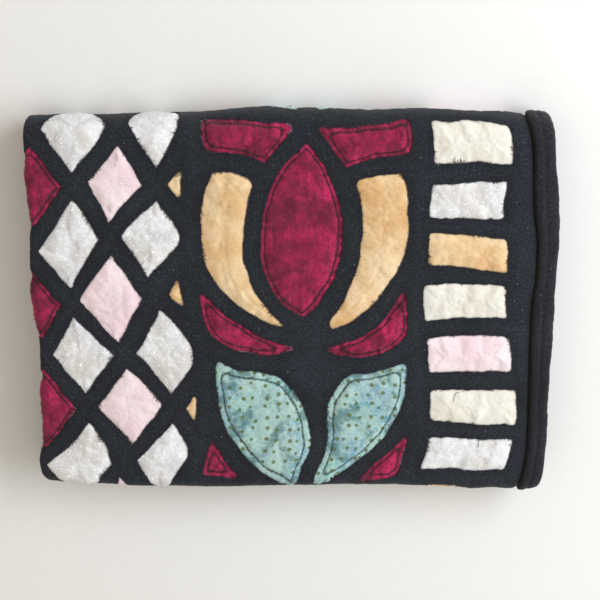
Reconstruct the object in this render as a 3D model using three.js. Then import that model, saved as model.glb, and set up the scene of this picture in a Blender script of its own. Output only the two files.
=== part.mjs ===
// Quilted wall hanging of pieced cotton, folded into a packet and laid on its back.
// Millimetres. X runs along the packet's long side, Y along its short side, Z up out of the face.
// The hanging is worked out flat first, in u (across), v (along) and n (above the middle of the cloth),
// and then every point is carried to its place by two folds: one across the width, at the packet's
// left, and then a fold in quarters along the length.

import * as THREE from 'three';
import { mergeVertices } from 'three/addons/utils/BufferGeometryUtils.js';

// Driving dimensions
const packetWidth = 385;
const packetDepth = 286;
const clothThickness = 4;
const halfGap = 0.8;
const runGap = 1;
const bindingWidth = 17;
const bindingThickness = 4.2;
const seamGap = 0.3;
const bottomEndInset = 5;
const innerEndInset = 10;
const centring = { x: -0.36, y: 1.75 };

// How much thicker the packet is at its left folds than at its right edge, as a share of its height
const foldSpring = 0.022;

// Sizes that follow from them
const doubled = 2 * clothThickness + halfGap;
const pitch = doubled + runGap;
const tightRadius = pitch / 2;
const wideRadius = 3 * pitch / 2;
const hairpinRadius = (clothThickness + halfGap) / 2;
const hairpinX = -packetWidth / 2 + doubled / 2;
const hairpinLength = Math.PI * hairpinRadius;
const foldLine = hairpinX - hairpinLength / 2;
const farFoldY = packetDepth / 2 - wideRadius - doubled / 2;
const nearFoldY = -packetDepth / 2 + tightRadius + doubled / 2;
const clothRight = packetWidth / 2 - bindingWidth - seamGap / 2;
const bindingLeft = clothRight + seamGap;
const clothLeft = 2 * hairpinX - hairpinLength - clothRight;
const bindingLeftMirror = 2 * hairpinX - hairpinLength - bindingLeft;

// Runs and folds of the quarter fold, in the order of the cloth's length. Level counts the doubled
// layers below. A run's y rises or falls with v. A fold bulges to one side in Y, its z rises or falls
// with v, and its face is outside the bend (1) or inside it (-1).
const runs = [
  { name: 'tucked end', level: 1, heading: 1, steps: 5 },
  { name: 'inner fold', level: 1.5, radius: tightRadius, bulge: 1, rise: 1, face: -1, steps: 8 },
  { name: 'second run', level: 2, heading: -1, steps: 5 },
  { name: 'near fold', level: 2.5, radius: tightRadius, bulge: -1, rise: 1, face: 1, steps: 8 },
  { name: 'top run', level: 3, heading: 1, steps: 32 },
  { name: 'far fold', level: 1.5, radius: wideRadius, bulge: 1, rise: -1, face: 1, steps: 10 },
  { name: 'bottom run', level: 0, heading: -1, steps: 5 },
];

// Uneven outline of the packet: how far its edges stray from a true rectangle, along each side
const leftEdge = [
  { at: -143, off: 1 }, { at: -135, off: -0.8 }, { at: -126, off: -1.9 }, { at: -108, off: 1.9 },
  { at: -89, off: 2.6 }, { at: -33, off: 2.6 }, { at: -18, off: 1.1 }, { at: 13, off: -2.4 },
  { at: 31, off: -2.4 }, { at: 50, off: -1.2 }, { at: 69, off: -0.4 }, { at: 87, off: -1.2 },
  { at: 106, off: -2.6 }, { at: 125, off: -3.6 }, { at: 143, off: -4 },
];
const seamEdge = [
  { at: -148, off: -5 }, { at: -138, off: -2.2 }, { at: -122, off: 1.5 }, { at: -102, off: 3.7 },
  { at: -22, off: 2.8 }, { at: 5, off: 3.3 }, { at: 25, off: 5.8 }, { at: 53, off: 5.4 },
  { at: 71, off: 2.8 }, { at: 91, off: 1.4 }, { at: 107, off: 1 }, { at: 125, off: -0.6 },
  { at: 137, off: -3.8 }, { at: 146, off: -7 },
];
const rightEdge = [
  { at: -148, off: -4 }, { at: -134, off: -1.2 }, { at: -123, off: -0.2 }, { at: -97, off: 1.3 },
  { at: -66, off: 0.9 }, { at: -22, off: 2.4 }, { at: 22, off: 3.2 }, { at: 53, off: 4.5 },
  { at: 87, off: 2.6 }, { at: 106, off: 0.2 }, { at: 118, off: -0.6 }, { at: 129, off: -1.6 },
  { at: 137, off: -2.6 }, { at: 148, off: -5 },
];
const topEdge = [
  { at: -196, off: -4 }, { at: -186, off: -2.7 }, { at: -142, off: -2.2 }, { at: -114, off: -1.3 },
  { at: -60, off: -0.6 }, { at: -30, off: 1.6 }, { at: -7, off: 3 }, { at: 30, off: 2.4 },
  { at: 65, off: 1.5 }, { at: 103, off: 1.6 }, { at: 134, off: 0.2 }, { at: 157, off: 0.3 },
  { at: 172, off: -0.4 }, { at: 184, off: 0.2 }, { at: 196, off: -3 },
];
const bottomEdge = [
  { at: -193, off: 3 }, { at: -186, off: 0.6 }, { at: -151, off: -1.6 }, { at: -120, off: -3.2 },
  { at: -86, off: -3.6 }, { at: -60, off: -4.6 }, { at: -25, off: -4.4 }, { at: 31, off: -2.4 },
  { at: 70, off: -2.9 }, { at: 103, off: -4.2 }, { at: 139, off: -5.6 }, { at: 157, off: -4.9 },
  { at: 168, off: -6.4 }, { at: 183, off: -6.4 }, { at: 193, off: -4 },
];

// Patchwork of the face: leading is the black strip between patches
const leading = 13;
const repeatLength = 283;
const flowerLeft = -74;
const flowerRight = 92;
const keysRight = 161;
const keyPitch = 39;
const lozenge = { width: 62, height: 86, first: 6 };
const puffHeight = 0.9;
const stitchDip = 0.6;
const puffReach = 11;
const leaves = [
  { x: 8, y: 58, length: 128, width: 62, turn: 90 },
  { x: -26, y: 42, length: 136, width: 76, turn: 120 },
  { x: 42, y: 42, length: 136, width: 76, turn: 60 },
  { x: -40, y: 2, length: 112, width: 70, turn: 148 },
  { x: 56, y: 2, length: 112, width: 70, turn: 32 },
  { x: -29, y: -82, length: 128, width: 56, turn: 120 },
  { x: 45, y: -82, length: 128, width: 56, turn: 60 },
];
const groundCells = [
  { left: -74, right: 8, bottom: 88, top: 141.5 },
  { left: 8, right: 92, bottom: 88, top: 141.5 },
  { left: -74, right: 8, bottom: -141.5, top: -62 },
  { left: 8, right: 92, bottom: -141.5, top: -62 },
];

// Hand-drawn sway of the patchwork's lines: waves of a size, with their radians per millimetre
const swayAcross = [
  { size: 4.2, perU: 0, perV: 0.03, shift: 0.6 }, { size: 2, perU: 0.048, perV: -0.021, shift: 2 },
];
const swayAlong = [
  { size: 3.6, perU: 0.028, perV: 0, shift: 1.1 }, { size: 2, perU: 0.034, perV: 0.043, shift: 0.4 },
];

// Grid steps of the cloth: fine on the face that shows, plain elsewhere
const fineSteps = 42;
const plainSteps = 6;
const hairpinSteps = 6;

// A smooth curve through a table's rows, level beyond its ends
function curveThrough(rows, at) {
  const last = rows.length - 1;
  if (at <= rows[0].at) return rows[0].off;
  if (at >= rows[last].at) return rows[last].off;
  const i = rows.findIndex((row, k) => k < last && at <= rows[k + 1].at);
  const slope = (k) => {
    const before = rows[Math.max(k - 1, 0)];
    const after = rows[Math.min(k + 1, last)];
    return (after.off - before.off) / (after.at - before.at);
  };
  const span = rows[i + 1].at - rows[i].at;
  const t = (at - rows[i].at) / span;
  const t2 = t * t;
  const t3 = t2 * t;
  return (2 * t3 - 3 * t2 + 1) * rows[i].off + (t3 - 2 * t2 + t) * span * slope(i)
    + (3 * t2 - 2 * t3) * rows[i + 1].off + (t3 - t2) * span * slope(i + 1);
}

// Where along the cloth's length each run starts and ends, with the top run's v equal to its y
function layOutRuns() {
  const lengthOf = (run) => (run.radius ? Math.PI * run.radius : farFoldY - nearFoldY);
  const top = runs.findIndex((run) => run.name === 'top run');
  let v = nearFoldY;
  for (const run of runs.slice(top)) {
    run.start = v;
    v += lengthOf(run);
    run.end = v;
  }
  v = nearFoldY;
  for (const run of runs.slice(0, top).reverse()) {
    run.end = v;
    v -= lengthOf(run);
    run.start = v;
  }
}
layOutRuns();
const reach = farFoldY + packetDepth / 2 - bindingWidth;
const clothStart = runs[0].end - reach + innerEndInset;
const clothEnd = runs[runs.length - 1].start + reach - bottomEndInset;
runs[0].start = clothStart;
runs[runs.length - 1].end = clothEnd;

// The quarter fold: the place in Y and Z of the doubled cloth's middle, and the way its face looks
function quarterFold(v) {
  const run = runs.find((each) => v <= each.end) ?? runs[runs.length - 1];
  const height = doubled / 2 + run.level * pitch;
  if (!run.radius) {
    const fromFarFold = run.heading === 1 ? run.end - v : v - run.start;
    return { y: farFoldY - fromFarFold, z: height, faceY: 0, faceZ: run.heading };
  }
  const angle = Math.PI * (v - run.start) / (run.end - run.start);
  const outY = run.bulge * Math.sin(angle);
  const outZ = -run.rise * Math.cos(angle);
  const centreY = run.bulge === 1 ? farFoldY : nearFoldY;
  return {
    y: centreY + run.radius * outY,
    z: height + run.radius * outZ,
    faceY: run.face * outY,
    faceZ: run.face * outZ,
  };
}

// The fold across the width: place in X, and height above the doubled cloth's middle
function hairpinFold(u, n) {
  const around = hairpinX - u;
  if (around <= 0) return { x: u, m: hairpinRadius + n };
  if (around >= hairpinLength) return { x: 2 * hairpinX - hairpinLength - u, m: -hairpinRadius - n };
  const angle = around / hairpinRadius;
  const radius = hairpinRadius + n;
  return { x: hairpinX - radius * Math.sin(angle), m: radius * Math.cos(angle) };
}

// The uneven outline, alike for every layer of the packet
function strayed(x, y, z) {
  const across = (x + packetWidth / 2) / (clothRight + packetWidth / 2);
  const beyond = (x - clothRight) / bindingWidth;
  const up = Math.min(Math.max((y + packetDepth / 2) / packetDepth, 0), 1);
  const left = curveThrough(leftEdge, y);
  const seam = curveThrough(seamEdge, y);
  const right = curveThrough(rightEdge, y);
  const dx = beyond > 0 ? seam + (right - seam) * beyond : left + (seam - left) * across;
  const dy = curveThrough(bottomEdge, x) * (1 - up) + curveThrough(topEdge, x) * up;
  const height = 1 - foldSpring * x / (packetWidth / 2);
  return [x + dx + centring.x, y + dy + centring.y, z * height];
}

// A point of the flat hanging carried to its place in the packet
function folded(u, v, n) {
  const { x, m } = hairpinFold(u, n);
  const { y, z, faceY, faceZ } = quarterFold(v);
  return strayed(x, y + m * faceY, z + m * faceZ);
}

// Distances are negative inside a patch
function leafDistance(u, v, leaf) {
  const turn = THREE.MathUtils.degToRad(leaf.turn);
  const along = (u - leaf.x) * Math.cos(turn) + (v - leaf.y) * Math.sin(turn);
  const aside = (v - leaf.y) * Math.cos(turn) - (u - leaf.x) * Math.sin(turn);
  const half = leaf.length / 2;
  const wide = leaf.width / 2;
  const radius = (half * half + wide * wide) / (2 * wide);
  return Math.hypot(along, Math.abs(aside) + radius - wide) - radius;
}

function lozengeDistance(u, v) {
  const column = Math.round((u - foldLine) / (lozenge.width / 2));
  let nearest = Infinity;
  for (const c of [column - 1, column, column + 1]) {
    const drop = lozenge.first + (c % 2 === 0 ? 0 : lozenge.height / 2);
    const row = Math.round((v - drop) / lozenge.height);
    const du = Math.abs(u - foldLine - c * lozenge.width / 2);
    const dv = Math.abs(v - drop - row * lozenge.height);
    const slant = Math.hypot(lozenge.width, lozenge.height);
    const inside = (du * lozenge.height + dv * lozenge.width - lozenge.width * lozenge.height / 2) / slant;
    nearest = Math.min(nearest, inside + leading / 2);
  }
  return Math.max(nearest, u - flowerLeft + leading / 2);
}

function keyDistance(u, v) {
  const row = Math.round(v / keyPitch);
  const across = Math.max(flowerRight + leading / 2 - u, u - keysRight);
  return Math.max(across, Math.abs(v - row * keyPitch) - (keyPitch - leading) / 2);
}

function flowerDistance(u, v) {
  const local = v - repeatLength * Math.round(v / repeatLength);
  const frame = Math.max(flowerLeft + leading / 2 - u, u - flowerRight + leading / 2);
  let taken = Infinity;
  let nearest = Infinity;
  for (const leaf of leaves) {
    const distance = leafDistance(u, local, leaf);
    nearest = Math.min(nearest, Math.max(distance, leading - taken));
    taken = Math.min(taken, distance);
  }
  for (const cell of groundCells) {
    const across = Math.max(cell.left - u, u - cell.right) + leading / 2;
    const along = Math.max(cell.bottom - local, local - cell.top) + leading / 2;
    nearest = Math.min(nearest, Math.max(across, along, leading - taken));
  }
  return Math.max(nearest, frame);
}

function swayed(waves, u, v) {
  let sum = 0;
  for (const { size, perU, perV, shift } of waves) sum += size * Math.sin(perU * u + perV * v + shift);
  return sum;
}

// Quilted relief of the face that shows: each patch is held down at its edge and puffs up inside it
function relief(u, v) {
  const across = u + swayed(swayAcross, u, v);
  const along = v + swayed(swayAlong, u, v);
  const distance = Math.min(
    lozengeDistance(across, along),
    keyDistance(across, along),
    flowerDistance(across, along),
  );
  if (distance > 0) return -stitchDip * Math.max(1 - distance / (leading / 2), 0);
  const inside = Math.min(-distance / puffReach, 1);
  const swell = Math.sin(inside * Math.PI / 2);
  return -stitchDip + (stitchDip + puffHeight) * swell;
}

function spread(from, to, steps) {
  return Array.from({ length: steps + 1 }, (_, i) => from + (to - from) * i / steps);
}

// Stations along the length, each once, with the run they belong to
function lengthStations() {
  const stations = [{ v: runs[0].start, fine: false }];
  for (const run of runs) {
    const fine = run.name === 'top run' || run.name === 'far fold';
    for (const v of spread(run.start, run.end, run.steps).slice(1)) {
      stations.push({ v, fine: fine && v < run.end });
    }
    if (run.name === 'near fold') stations[stations.length - 1].fine = true;
  }
  return stations;
}

function widthStations(fine) {
  const under = spread(clothLeft, hairpinX - hairpinLength, plainSteps);
  const fold = spread(hairpinX - hairpinLength, hairpinX, hairpinSteps).slice(1);
  const upper = spread(hairpinX, clothRight, fine ? fineSteps : plainSteps).slice(1);
  return [...under, ...fold, ...upper];
}

// Triangles between two rows of points, each row in rising order of its t
function stitch(rowA, rowB, triangles) {
  let a = 0;
  let b = 0;
  while (a < rowA.length - 1 || b < rowB.length - 1) {
    const nextA = a < rowA.length - 1 ? rowA[a + 1].t : Infinity;
    const nextB = b < rowB.length - 1 ? rowB[b + 1].t : Infinity;
    if (nextA <= nextB) {
      triangles.push(rowA[a].p, rowA[a + 1].p, rowB[b].p);
      a += 1;
    } else {
      triangles.push(rowA[a].p, rowB[b + 1].p, rowB[b].p);
      b += 1;
    }
  }
}

// One closed body from loose triangles, turned so that its faces point out
function closedBody(triangles) {
  const corner = new THREE.Vector3();
  let volume = 0;
  for (let i = 0; i < triangles.length; i += 3) {
    const [a, b, c] = triangles.slice(i, i + 3).map((p) => new THREE.Vector3(...p));
    volume += a.dot(corner.crossVectors(b, c));
  }
  const ordered = volume > 0 ? triangles : triangles.map((p, i) => triangles[i + [0, 1, -1][i % 3]]);
  const geometry = new THREE.BufferGeometry();
  geometry.setAttribute('position', new THREE.Float32BufferAttribute(ordered.flat(), 3));
  const merged = mergeVertices(geometry, 1e-4);
  merged.computeVertexNormals();
  return merged;
}

// The quilted cloth: a face and a back on the same stations, closed round its four edges
function quiltBody() {
  const triangles = [];
  const half = clothThickness / 2;
  const stations = lengthStations();
  const sheet = (n, allowFine, raised) => stations.map(({ v, fine }) => (
    widthStations(fine && allowFine).map((u) => {
      const lift = raised && fine && u > hairpinX && u < clothRight ? relief(u, v) : 0;
      return { t: u, p: folded(u, v, n + lift) };
    })
  ));
  const face = sheet(half, true, true);
  const back = sheet(-half, false, false);
  for (let j = 0; j < stations.length - 1; j += 1) {
    stitch(face[j], face[j + 1], triangles);
    stitch(back[j + 1], back[j], triangles);
    const left = [face[j][0], back[j][0], face[j + 1][0], back[j + 1][0]];
    const right = [face[j], back[j], face[j + 1], back[j + 1]].map((row) => row[row.length - 1]);
    triangles.push(left[0].p, left[2].p, left[1].p, left[1].p, left[2].p, left[3].p);
    triangles.push(right[0].p, right[1].p, right[2].p, right[1].p, right[3].p, right[2].p);
  }
  const last = stations.length - 1;
  stitch(back[0], face[0], triangles);
  stitch(face[last], back[last], triangles);
  return closedBody(triangles);
}

// Section of a binding strip, rounded at its seam and fully rounded at its outer edge
function bindingSection() {
  const top = clothThickness / 2;
  const bottom = top - bindingThickness;
  const seamRound = 1.3;
  const edgeRound = bindingThickness / 2;
  const corners = [
    { a: seamRound, n: bottom + seamRound, r: seamRound, from: 180 },
    { a: bindingWidth - edgeRound, n: bottom + edgeRound, r: edgeRound, from: 270 },
    { a: bindingWidth - edgeRound, n: top - edgeRound, r: edgeRound, from: 0 },
    { a: seamRound, n: top - seamRound, r: seamRound, from: 90 },
  ];
  return corners.flatMap(({ a, n, r, from }) => [0, 45, 90].map((step) => {
    const angle = THREE.MathUtils.degToRad(from + step);
    return { a: a + r * Math.cos(angle), n: n + r * Math.sin(angle) };
  }));
}

// A section carried along stations and closed with a flat cap at each end
function sweep(section, stations, place) {
  const rings = stations.map((s) => section.map(({ a, n }) => place(s, a, n)));
  const triangles = [];
  const count = section.length;
  for (let j = 0; j < rings.length - 1; j += 1) {
    for (let i = 0; i < count; i += 1) {
      const k = (i + 1) % count;
      triangles.push(rings[j][i], rings[j][k], rings[j + 1][i]);
      triangles.push(rings[j][k], rings[j + 1][k], rings[j + 1][i]);
    }
  }
  const last = rings.length - 1;
  for (let i = 1; i < count - 1; i += 1) {
    triangles.push(rings[0][0], rings[0][i + 1], rings[0][i]);
    triangles.push(rings[last][0], rings[last][i], rings[last][i + 1]);
  }
  return closedBody(triangles);
}

function sideBinding(place) {
  return sweep(bindingSection(), lengthStations().map(({ v }) => v), place);
}

function endBinding(place) {
  const outer = bindingLeft + bindingWidth;
  const outerMirror = bindingLeftMirror - bindingWidth;
  return sweep(bindingSection(), [outerMirror, ...widthStations(false), outer], place);
}

// Materials
function quiltedCotton() {
  return new THREE.MeshStandardMaterial({ color: 0x24272e, roughness: 0.95, metalness: 0 });
}

function bindingCotton() {
  return new THREE.MeshStandardMaterial({ color: 0x201f22, roughness: 0.92, metalness: 0 });
}

function piece(name, geometry, material) {
  const mesh = new THREE.Mesh(geometry, material);
  mesh.name = name;
  return mesh;
}

const hanging = new THREE.Group();
hanging.add(piece('quilt_body', quiltBody(), quiltedCotton()));
hanging.add(piece(
  'binding_side_upper',
  sideBinding((v, a, n) => folded(bindingLeft + a, v, n)),
  bindingCotton(),
));
hanging.add(piece(
  'binding_side_lower',
  sideBinding((v, a, n) => folded(bindingLeftMirror - a, v, n)),
  bindingCotton(),
));
hanging.add(piece(
  'binding_end_bottom',
  endBinding((u, a, n) => folded(u, clothEnd + seamGap + a, n)),
  bindingCotton(),
));
hanging.add(piece(
  'binding_end_inner',
  endBinding((u, a, n) => folded(u, clothStart - seamGap - a, n)),
  bindingCotton(),
));

export default hanging;
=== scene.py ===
# Quilted wall hanging of pieced cotton, folded in half across and then in quarters, lying on its back.
# The hanging is laid out flat first, in millimetres: u across it, v along it and n above the middle of
# its cloth. Every point is then carried to its place by the two folds, and made metres.

import math

import bpy
import numpy as np
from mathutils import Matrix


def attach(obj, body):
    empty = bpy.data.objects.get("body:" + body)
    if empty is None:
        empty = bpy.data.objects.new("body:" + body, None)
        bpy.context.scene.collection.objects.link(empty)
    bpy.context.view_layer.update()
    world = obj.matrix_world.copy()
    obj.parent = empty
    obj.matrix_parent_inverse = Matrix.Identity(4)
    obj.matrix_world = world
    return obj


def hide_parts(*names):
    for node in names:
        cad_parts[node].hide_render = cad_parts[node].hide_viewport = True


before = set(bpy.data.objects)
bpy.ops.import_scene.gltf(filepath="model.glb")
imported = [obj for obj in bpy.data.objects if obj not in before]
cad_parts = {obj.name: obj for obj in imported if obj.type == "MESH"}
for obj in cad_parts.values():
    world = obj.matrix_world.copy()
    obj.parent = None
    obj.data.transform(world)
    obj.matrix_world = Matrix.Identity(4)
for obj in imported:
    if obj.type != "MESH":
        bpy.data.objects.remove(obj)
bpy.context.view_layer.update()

MM = 0.001
# The flat layout is kept as a UV map in decimetres
UV_SCALE = 0.01

# Sizes of the packet, in millimetres
PACKET_WIDTH = 385
PACKET_DEPTH = 286
CLOTH = 4
HALF_GAP = 0.8
RUN_GAP = 1
BINDING_WIDTH = 17
SEAM_GAP = 0.3
BOTTOM_END_INSET = 5
INNER_END_INSET = 10
CENTRING = (-0.36, 1.75)
FLOOR_GAP = 0.08

# Share by which the packet is thicker at its fold, at the left, and thinner at the right
FOLD_SPRING = 0.022

# Sizes that follow from them
DOUBLED = 2 * CLOTH + HALF_GAP
PITCH = DOUBLED + RUN_GAP
TIGHT_RADIUS = PITCH / 2
WIDE_RADIUS = 3 * PITCH / 2
HAIRPIN_RADIUS = (CLOTH + HALF_GAP) / 2
HAIRPIN_X = -PACKET_WIDTH / 2 + DOUBLED / 2
HAIRPIN_LENGTH = math.pi * HAIRPIN_RADIUS
FOLD_LINE = HAIRPIN_X - HAIRPIN_LENGTH / 2
HAIRPIN_END = HAIRPIN_X - HAIRPIN_LENGTH
FAR_FOLD_Y = PACKET_DEPTH / 2 - WIDE_RADIUS - DOUBLED / 2
NEAR_FOLD_Y = -PACKET_DEPTH / 2 + TIGHT_RADIUS + DOUBLED / 2
CLOTH_RIGHT = PACKET_WIDTH / 2 - BINDING_WIDTH - SEAM_GAP / 2
CLOTH_LEFT = 2 * FOLD_LINE - CLOTH_RIGHT
FACE = CLOTH / 2

# Runs and folds along the cloth's length. Level counts the doubled layers below. A run's y rises or
# falls with v. A fold bulges to one side in Y, its z rises or falls with v, and its face is outside
# the bend (1) or inside it (-1).
RUNS = [
    {"name": "tucked end", "level": 1, "heading": 1},
    {"name": "inner fold", "level": 1.5, "radius": TIGHT_RADIUS, "bulge": 1, "rise": 1, "face": -1},
    {"name": "second run", "level": 2, "heading": -1},
    {"name": "near fold", "level": 2.5, "radius": TIGHT_RADIUS, "bulge": -1, "rise": 1, "face": 1},
    {"name": "top run", "level": 3, "heading": 1},
    {"name": "far fold", "level": 1.5, "radius": WIDE_RADIUS, "bulge": 1, "rise": -1, "face": 1},
    {"name": "bottom run", "level": 0, "heading": -1},
]

# Uneven outline of the packet: how far its edges stray from a true rectangle, as (along, off)
LEFT_EDGE = [
    (-143, 1), (-135, -0.8), (-126, -1.9), (-108, 1.9), (-89, 2.6), (-33, 2.6), (-18, 1.1), (13, -2.4),
    (31, -2.4), (50, -1.2), (69, -0.4), (87, -1.2), (106, -2.6), (125, -3.6), (143, -4),
]
SEAM_EDGE = [
    (-148, -5), (-138, -2.2), (-122, 1.5), (-102, 3.7), (-22, 2.8), (5, 3.3), (25, 5.8), (53, 5.4),
    (71, 2.8), (91, 1.4), (107, 1), (125, -0.6), (137, -3.8), (146, -7),
]
RIGHT_EDGE = [
    (-148, -4), (-134, -1.2), (-123, -0.2), (-97, 1.3), (-66, 0.9), (-22, 2.4), (22, 3.2), (53, 4.5),
    (87, 2.6), (106, 0.2), (118, -0.6), (129, -1.6), (137, -2.6), (148, -5),
]
TOP_EDGE = [
    (-196, -4), (-186, -2.7), (-142, -2.2), (-114, -1.3), (-60, -0.6), (-30, 1.6), (-7, 3), (30, 2.4),
    (65, 1.5), (103, 1.6), (134, 0.2), (157, 0.3), (172, -0.4), (184, 0.2), (196, -3),
]
BOTTOM_EDGE = [
    (-193, 3), (-186, 0.6), (-151, -1.6), (-120, -3.2), (-86, -3.6), (-60, -4.6), (-25, -4.4),
    (31, -2.4), (70, -2.9), (103, -4.2), (139, -5.6), (157, -4.9), (168, -6.4), (183, -6.4), (193, -4),
]

# Patchwork of the face: leading is the black strip between patches
LEADING = 13
REPEAT = 283
FLOWER_LEFT = -74
FLOWER_MIDDLE = 8
FLOWER_RIGHT = 92
KEYS_RIGHT = 161
KEY_PITCH = 39
LOZENGE_WIDTH = 62
LOZENGE_HEIGHT = 86
LOZENGE_FIRST = 6
DOT_PITCH = 8.8
FAR_OFF = 1e3
FABRICS = ["burgundy", "peach", "pink", "cream", "glitter", "batik"]

# Leaf shapes: fabric, how far off the flower's middle, height, length, width and lean. All but the one in
# the middle have a mirror image
LEAVES = [
    {"fabric": fabric, "x": FLOWER_MIDDLE + side * off, "y": y, "length": length, "width": width,
     "turn": 90 - side * lean}
    for fabric, off, y, length, width, lean in (
        ("burgundy", 0, 58, 128, 62, 0), ("peach", 34, 42, 136, 76, 30),
        ("burgundy", 48, 2, 112, 70, 58), ("batik", 37, -82, 128, 56, 30),
    ) for side in ((-1, 1) if off else (1,))
]
GROUND_CELLS = [
    {"fabric": "burgundy", "left": left, "right": right, "bottom": bottom, "top": top}
    for bottom, top in ((88, REPEAT / 2), (-REPEAT / 2, -62))
    for left, right in ((FLOWER_LEFT, FLOWER_MIDDLE), (FLOWER_MIDDLE, FLOWER_RIGHT))
]

# Every patch has a number of its own, from which its chance values follow
FLOWER_NUMBERS = 20
LOZENGE_NUMBERS = 1000
COLUMN_NUMBERS = 40
KEY_NUMBERS = 2000
LOZENGE_FABRICS = ["burgundy", "glitter", "pink", "glitter", "peach"]
KEY_FABRICS = ["cream", "peach", "glitter", "cream", "pink"]

# Hand-drawn sway of the patchwork's lines: waves of (size, radians per mm of u and of v, shift), and
# the finer random waves that cutting and stretch add, of (size, length)
SWAY_ACROSS = [(4.2, 0, 0.03, 0.6), (2, 0.048, -0.021, 2)]
SWAY_ALONG = [(3.6, 0.028, 0, 1.1), (2, 0.034, 0.043, 0.4)]
CUT_WAVES = [(0.8, 48), (0.5, 17), (0.22, 6), (0.16, 2.7)]

# Heights and reaches of the face's relief, in millimetres
OVERLAY_THICKNESS = 0.7
PUFF_HEIGHT = 1.5
PUFF_REACH = 11
TUCK = 2.4
CLOTH_FACE = 0.2
CREASE_DEPTH = 0.5
SEAM_DIP = 2.0
SEAM_REACH = 3.6
SEAM_SLOPE = 0.35
SLOPE_REACH = 14
GROOVE_DEPTH = 0.65
GROOVE_WIDTH = 1.25

# How far the face takes to come free of the packet: past the near fold, the far fold and the left one
NEAR_RELEASE = 12
FAR_RELEASE = 22
LEFT_RELEASE = 4

# Random waves: how many make one field, and fields as (size, length, seed)
RIPPLE_WAVES = 7
DRAPE_WAVES = [(0.75, 110, 11), (0.4, 42, 12)]
BINDING_WAVES = [(0.35, 30, 43), (0.25, 9, 44)]

# Topstitching runs this far inside the edges of these fabrics' patches, in millimetres. The others have
# an inset that is never reached
STITCH_INSETS = {"burgundy": 3.2, "batik": 5.0}
NOT_SEWN = -50.0

# Share of the full crumpling that these smoother fabrics have
CRUMPLING = {"cream": 0.55, "pink": 0.6, "peach": 0.75, "glitter": 0.78}


# Folding

def curve_through(rows, at):
    """A smooth curve through a table's rows, level beyond its ends."""
    place, off = np.array(rows, float).T
    slope = np.empty_like(off)
    slope[1:-1] = (off[2:] - off[:-2]) / (place[2:] - place[:-2])
    slope[0] = (off[1] - off[0]) / (place[1] - place[0])
    slope[-1] = (off[-1] - off[-2]) / (place[-1] - place[-2])
    at = np.clip(at, place[0], place[-1])
    i = np.clip(np.searchsorted(place, at, side="right") - 1, 0, len(place) - 2)
    span = place[i + 1] - place[i]
    t = (at - place[i]) / span
    start = (2 * t**3 - 3 * t**2 + 1) * off[i] + (t**3 - 2 * t**2 + t) * span * slope[i]
    return start + (3 * t**2 - 2 * t**3) * off[i + 1] + (t**3 - t**2) * span * slope[i + 1]


def lay_out_runs():
    """Where along the cloth's length each run starts and ends, with the top run's v equal to its y."""
    top = next(i for i, run in enumerate(RUNS) if run["name"] == "top run")
    for run in RUNS:
        run["length"] = math.pi * run["radius"] if "radius" in run else FAR_FOLD_Y - NEAR_FOLD_Y
    v = NEAR_FOLD_Y
    for run in RUNS[top:]:
        run["start"], run["end"] = v, v + run["length"]
        v = run["end"]
    v = NEAR_FOLD_Y
    for run in reversed(RUNS[:top]):
        run["start"], run["end"] = v - run["length"], v
        v = run["start"]
    reach = FAR_FOLD_Y + PACKET_DEPTH / 2 - BINDING_WIDTH
    RUNS[0]["start"] = RUNS[0]["end"] - reach + INNER_END_INSET
    RUNS[-1]["end"] = RUNS[-1]["start"] + reach - BOTTOM_END_INSET
    return {run["name"]: (run["start"], run["end"]) for run in RUNS}


SPANS = lay_out_runs()
CLOTH_START = SPANS["tucked end"][0]
CLOTH_END = SPANS["bottom run"][1]


def quarter_fold(v):
    """The place in Y and Z of the doubled cloth's middle, and the way that its face looks."""
    y, z, face_y, face_z = (np.zeros_like(v) for _ in range(4))
    for k, run in enumerate(RUNS):
        here = (v > run["start"]) | (k == 0)
        height = DOUBLED / 2 + run["level"] * PITCH
        if "radius" in run:
            angle = math.pi * (v - run["start"]) / run["length"]
            out_y, out_z = run["bulge"] * np.sin(angle), -run["rise"] * np.cos(angle)
            centre = FAR_FOLD_Y if run["bulge"] == 1 else NEAR_FOLD_Y
            values = (centre + run["radius"] * out_y, height + run["radius"] * out_z,
                      run["face"] * out_y, run["face"] * out_z)
        else:
            from_far = run["end"] - v if run["heading"] == 1 else v - run["start"]
            values = (FAR_FOLD_Y - from_far, height, 0.0, run["heading"])
        for whole, part in zip((y, z, face_y, face_z), values):
            whole[here] = np.broadcast_to(part, v.shape)[here]
    return y, z, face_y, face_z


def hairpin_fold(u, n):
    """The place in X, and the height above the doubled cloth's middle."""
    around = np.clip(HAIRPIN_X - u, 0, HAIRPIN_LENGTH) / HAIRPIN_RADIUS
    radius = HAIRPIN_RADIUS + n
    x = HAIRPIN_X - radius * np.sin(around)
    x += np.maximum(u - HAIRPIN_X, 0) + np.maximum(HAIRPIN_END - u, 0)
    return x, radius * np.cos(around)


def strayed(x, y, z):
    """The uneven outline, alike for every layer of the packet."""
    across = (x + PACKET_WIDTH / 2) / (CLOTH_RIGHT + PACKET_WIDTH / 2)
    beyond = (x - CLOTH_RIGHT) / BINDING_WIDTH
    up = np.clip((y + PACKET_DEPTH / 2) / PACKET_DEPTH, 0, 1)
    left, seam, right = (curve_through(rows, y) for rows in (LEFT_EDGE, SEAM_EDGE, RIGHT_EDGE))
    dx = np.where(beyond > 0, seam + (right - seam) * beyond, left + (seam - left) * across)
    dy = curve_through(BOTTOM_EDGE, x) * (1 - up) + curve_through(TOP_EDGE, x) * up
    height = 1 - FOLD_SPRING * x / (PACKET_WIDTH / 2)
    return np.stack([x + dx + CENTRING[0], y + dy + CENTRING[1], z * height + FLOOR_GAP], axis=-1)


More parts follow.
